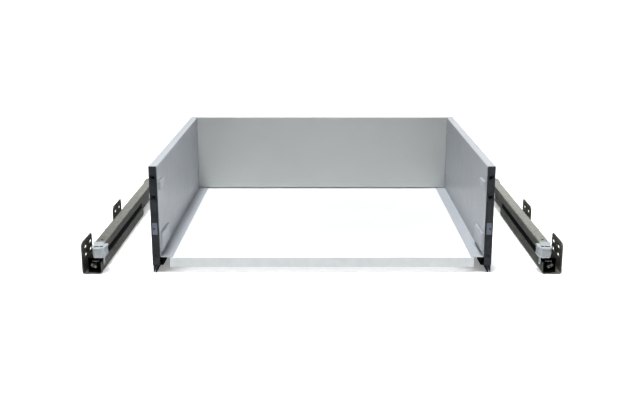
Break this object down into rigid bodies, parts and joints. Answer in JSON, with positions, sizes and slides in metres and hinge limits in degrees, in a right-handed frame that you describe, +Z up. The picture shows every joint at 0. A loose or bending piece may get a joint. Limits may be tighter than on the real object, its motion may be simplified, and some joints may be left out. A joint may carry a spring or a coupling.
{
  "type": "cabinet drawer with concealed runners",
  "caption": "Metal-sided cabinet drawer with open front and its pair of concealed full-extension soft-close runners laid out beside it.",
  "frame": {"origin": "on the floor, at the middle of the width and of the depth", "axes": "+X right, +Y from the open front to the back, +Z up; the drawer opens along -Y"},
  "size_m": [0.7794, 0.5074, 0.1773],
  "materials": {
    "coated_steel": "powder-coated steel sheet, satin, light grey",
    "melamine_board": "white melamine-faced board, satin",
    "galvanised_steel": "galvanised, rolled, faint spangle",
    "black_steel": "black electro-coated, satin",
    "die_cast_zinc": "die-cast zinc, tumbled",
    "black_plastic": "moulded acetal, fine texture",
    "grey_plastic": "moulded, silver grey",
    "cover_plastic": "moulded ABS, light grey",
    "plated_steel": "bright zinc-plated"
  },
  "bodies": {
    "cabinet_profiles": {"cabinet_profile_right": "galvanised_steel", "cabinet_profile_left": "galvanised_steel", "cabinet_rails": "galvanised_steel", "rail_rivets": "plated_steel", "side_guides": "black_plastic", "damper_cases": "black_plastic", "damper_cylinders": "plated_steel"},
    "drawer": {"base_panel": "melamine_board", "back_panel": "melamine_board", "inner_skin_right": "coated_steel", "inner_skin_left": "coated_steel", "outer_skin_right": "coated_steel", "outer_skin_left": "coated_steel", "board_rails": "galvanised_steel", "base_screws": "plated_steel", "back_holders": "galvanised_steel", "back_screws": "plated_steel", "holder_rivets": "plated_steel", "adjuster_guides": "black_plastic", "coupling_blocks": "black_plastic"},
    "member_right": {"drawer_member_right": "galvanised_steel", "end_cap_right": "grey_plastic", "rear_hook_right": "galvanised_steel"},
    "middle_right": {"middle_member_right": "galvanised_steel", "nose_right": "black_plastic", "latch_plate_right": "plated_steel"},
    "latch_lever_right": {"latch_lever_right": "plated_steel"},
    "lower_roller_set_right": {"lower_cage_right": "black_plastic", "lower_rollers_right": "plated_steel"},
    "upper_roller_set_right": {"upper_cage_right": "black_plastic", "upper_rollers_right": "plated_steel"},
    "damper_slider_right": {"damper_slider_right": "black_plastic"},
    "height_cam_right": {"height_cam_right": "die_cast_zinc"},
    "carriage_right": {"carriage_right": "die_cast_zinc"},
    "bracket_right": {"front_bracket_right": "black_steel", "front_bushes_right": "die_cast_zinc", "clamp_plate_right": "die_cast_zinc"},
    "side_screw_right": {"side_screw_right": "plated_steel"},
    "upper_cover_right": {"upper_cover_right": "cover_plastic"},
    "lower_cover_right": {"lower_cover_right": "cover_plastic"},
    "member_left": {"drawer_member_left": "galvanised_steel", "end_cap_left": "grey_plastic", "rear_hook_left": "galvanised_steel"},
    "middle_left": {"middle_member_left": "galvanised_steel", "nose_left": "black_plastic", "latch_plate_left": "plated_steel"},
    "latch_lever_left": {"latch_lever_left": "plated_steel"},
    "lower_roller_set_left": {"lower_cage_left": "black_plastic", "lower_rollers_left": "plated_steel"},
    "upper_roller_set_left": {"upper_cage_left": "black_plastic", "upper_rollers_left": "plated_steel"},
    "damper_slider_left": {"damper_slider_left": "black_plastic"},
    "height_cam_left": {"height_cam_left": "die_cast_zinc"},
    "carriage_left": {"carriage_left": "die_cast_zinc"},
    "bracket_left": {"front_bracket_left": "black_steel", "front_bushes_left": "die_cast_zinc", "clamp_plate_left": "die_cast_zinc"},
    "side_screw_left": {"side_screw_left": "plated_steel"},
    "upper_cover_left": {"upper_cover_left": "cover_plastic"},
    "lower_cover_left": {"lower_cover_left": "cover_plastic"}
  },
  "joints": [
    {"name": "drawer_travel", "type": "slide", "parent": "cabinet_profiles", "child": "drawer", "axis": [0, -1, 0], "range_m": [0, 0.48]},
    {"name": "member_travel_right", "type": "slide", "parent": "cabinet_profiles", "child": "member_right", "axis": [0, -1, 0], "range_m": [0, 0.48]},
    {"name": "middle_travel_right", "type": "slide", "parent": "cabinet_profiles", "child": "middle_right", "axis": [0, -1, 0], "range_m": [0, 0.24]},
    {"name": "lower_roller_travel_right", "type": "slide", "parent": "cabinet_profiles", "child": "lower_roller_set_right", "axis": [0, -1, 0], "range_m": [0, 0.12]},
    {"name": "upper_roller_travel_right", "type": "slide", "parent": "cabinet_profiles", "child": "upper_roller_set_right", "axis": [0, -1, 0], "range_m": [0, 0.36]},
    {"name": "soft_close_right", "type": "slide", "parent": "cabinet_profiles", "child": "damper_slider_right", "axis": [0, -1, 0], "range_m": [0, 0.045], "stiffness_N_per_m": 150, "springref_m": -0.005},
    {"name": "latch_lever_turn_right", "type": "hinge", "parent": "middle_right", "child": "latch_lever_right", "pos_m": [0.3722, -0.24165, 0.0122], "axis": [0, 1, 0], "range_deg": [-15, 15], "stiffness_Nm_per_rad": 0.05},
    {"name": "height_cam_turn_right", "type": "hinge", "parent": "drawer", "child": "height_cam_right", "pos_m": [0.2642, -0.21365, 0.05], "axis": [1, 0, 0], "range_deg": [0, 100]},
    {"name": "bracket_lift_right", "type": "slide", "parent": "drawer", "child": "carriage_right", "axis": [0, 0, 1], "range_m": [0, 0.003]},
    {"name": "bracket_shift_right", "type": "slide", "parent": "carriage_right", "child": "bracket_right", "axis": [1, 0, 0], "range_m": [-0.0015, 0.0015]},
    {"name": "side_screw_turn_right", "type": "hinge", "parent": "bracket_right", "child": "side_screw_right", "pos_m": [0.2662, -0.18565, 0.05], "axis": [1, 0, 0], "range_deg": [-540, 540]},
    {"name": "upper_cover_pull_right", "type": "slide", "parent": "drawer", "child": "upper_cover_right", "axis": [-1, 0, 0], "range_m": [0, 0.02]},
    {"name": "lower_cover_pull_right", "type": "slide", "parent": "drawer", "child": "lower_cover_right", "axis": [-1, 0, 0], "range_m": [0, 0.02]},
    {"name": "member_travel_left", "type": "slide", "parent": "cabinet_profiles", "child": "member_left", "axis": [0, -1, 0], "range_m": [0, 0.48]},
    {"name": "middle_travel_left", "type": "slide", "parent": "cabinet_profiles", "child": "middle_left", "axis": [0, -1, 0], "range_m": [0, 0.24]},
    {"name": "lower_roller_travel_left", "type": "slide", "parent": "cabinet_profiles", "child": "lower_roller_set_left", "axis": [0, -1, 0], "range_m": [0, 0.12]},
    {"name": "upper_roller_travel_left", "type": "slide", "parent": "cabinet_profiles", "child": "upper_roller_set_left", "axis": [0, -1, 0], "range_m": [0, 0.36]},
    {"name": "soft_close_left", "type": "slide", "parent": "cabinet_profiles", "child": "damper_slider_left", "axis": [0, -1, 0], "range_m": [0, 0.045], "stiffness_N_per_m": 150, "springref_m": -0.005},
    {"name": "latch_lever_turn_left", "type": "hinge", "parent": "middle_left", "child": "latch_lever_left", "pos_m": [-0.3722, -0.24165, 0.0122], "axis": [0, 1, 0], "range_deg": [-15, 15], "stiffness_Nm_per_rad": 0.05},
    {"name": "height_cam_turn_left", "type": "hinge", "parent": "drawer", "child": "height_cam_left", "pos_m": [-0.2642, -0.21365, 0.05], "axis": [1, 0, 0], "range_deg": [0, 100]},
    {"name": "bracket_lift_left", "type": "slide", "parent": "drawer", "child": "carriage_left", "axis": [0, 0, 1], "range_m": [0, 0.003]},
    {"name": "bracket_shift_left", "type": "slide", "parent": "carriage_left", "child": "bracket_left", "axis": [1, 0, 0], "range_m": [-0.0015, 0.0015]},
    {"name": "side_screw_turn_left", "type": "hinge", "parent": "bracket_left", "child": "side_screw_left", "pos_m": [-0.2662, -0.18565, 0.05], "axis": [1, 0, 0], "range_deg": [-540, 540]},
    {"name": "upper_cover_pull_left", "type": "slide", "parent": "drawer", "child": "upper_cover_left", "axis": [1, 0, 0], "range_m": [0, 0.02]},
    {"name": "lower_cover_pull_left", "type": "slide", "parent": "drawer", "child": "lower_cover_left", "axis": [1, 0, 0], "range_m": [0, 0.02]}
  ],
  "couplings": [
    {"joint": "member_travel_right", "follows": "drawer_travel", "ratio": 1},
    {"joint": "middle_travel_right", "follows": "drawer_travel", "ratio": 0.5},
    {"joint": "lower_roller_travel_right", "follows": "drawer_travel", "ratio": 0.25},
    {"joint": "upper_roller_travel_right", "follows": "drawer_travel", "ratio": 0.75},
    {"joint": "height_cam_turn_right", "follows": "bracket_lift_right", "rad_per_m": 581.78},
    {"joint": "side_screw_turn_right", "follows": "bracket_shift_right", "rad_per_m": 6283.2},
    {"joint": "member_travel_left", "follows": "drawer_travel", "ratio": 1},
    {"joint": "middle_travel_left", "follows": "drawer_travel", "ratio": 0.5},
    {"joint": "lower_roller_travel_left", "follows": "drawer_travel", "ratio": 0.25},
    {"joint": "upper_roller_travel_left", "follows": "drawer_travel", "ratio": 0.75},
    {"joint": "height_cam_turn_left", "follows": "bracket_lift_left", "rad_per_m": 581.78},
    {"joint": "side_screw_turn_left", "follows": "bracket_shift_left", "rad_per_m": 6283.2}
  ]
}
